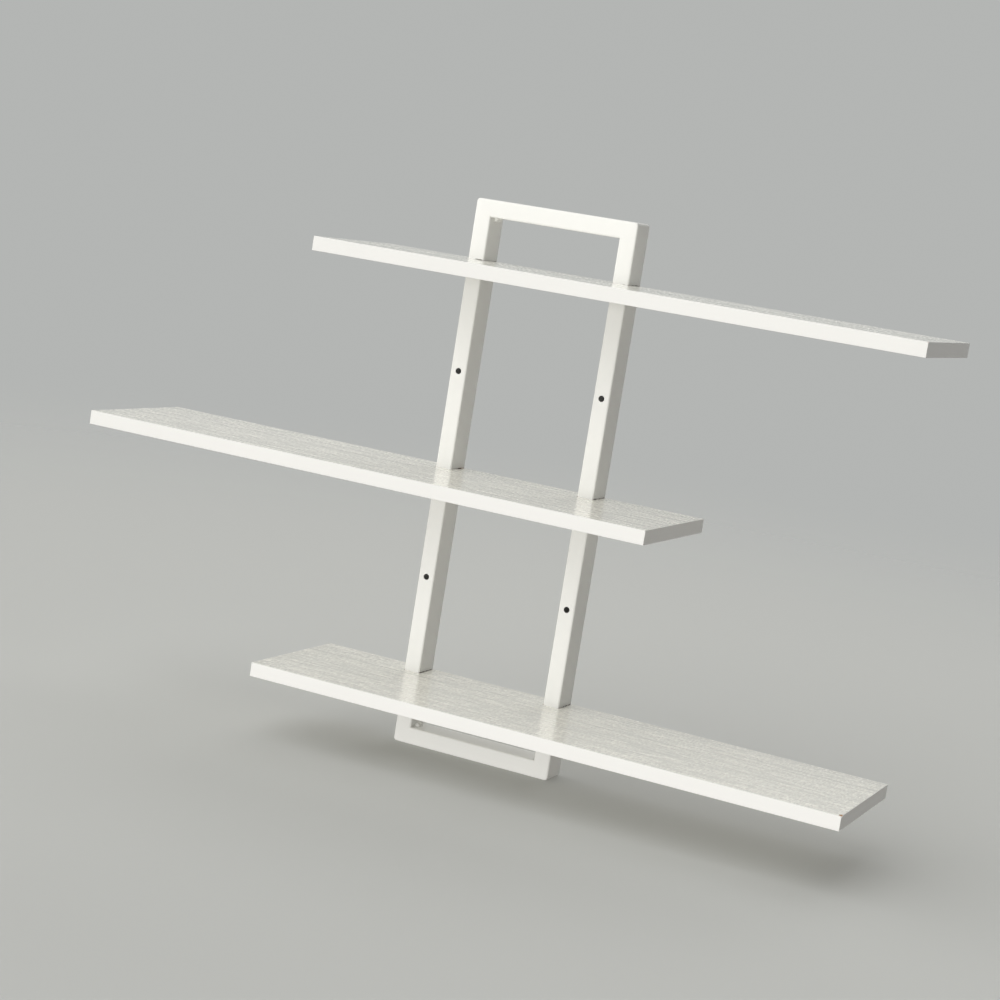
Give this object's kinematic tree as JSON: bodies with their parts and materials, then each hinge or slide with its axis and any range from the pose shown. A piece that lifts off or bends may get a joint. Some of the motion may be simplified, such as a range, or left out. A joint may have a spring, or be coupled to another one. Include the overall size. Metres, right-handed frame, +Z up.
{
  "type": "floating shelf",
  "caption": "Wall shelf of staggered white boards, notched over a narrow welded frame of rectangular tube, with holes for wall screws.",
  "frame": {"origin": "centre of the four wall-screw holes, on the wall plane that the backs of the tubes lie in", "axes": "+X to the right along the boards, +Y into the wall, +Z up"},
  "size_m": [0.9588, 0.188, 0.644],
  "materials": {
    "frame_paint": "satin white powder coat",
    "board": "white melamine, fine embossed grain, half gloss",
    "edge_band": "smooth white edge band",
    "screw_zinc": "bright zinc"
  },
  "bodies": {
    "root": {"left_upright": "frame_paint", "right_upright": "frame_paint", "top_rail": "frame_paint", "bottom_rail": "frame_paint", "corner_welds": "frame_paint", "top_board": "board", "top_front_band": "edge_band", "top_left_band": "edge_band", "top_right_band": "edge_band", "top_rear_bands": "edge_band", "top_screws": "screw_zinc", "middle_board": "board", "middle_front_band": "edge_band", "middle_left_band": "edge_band", "middle_right_band": "edge_band", "middle_rear_bands": "edge_band", "middle_screws": "screw_zinc", "bottom_board": "board", "bottom_front_band": "edge_band", "bottom_left_band": "edge_band", "bottom_right_band": "edge_band", "bottom_rear_bands": "edge_band", "bottom_screws": "screw_zinc"}
  },
  "joints": []
}
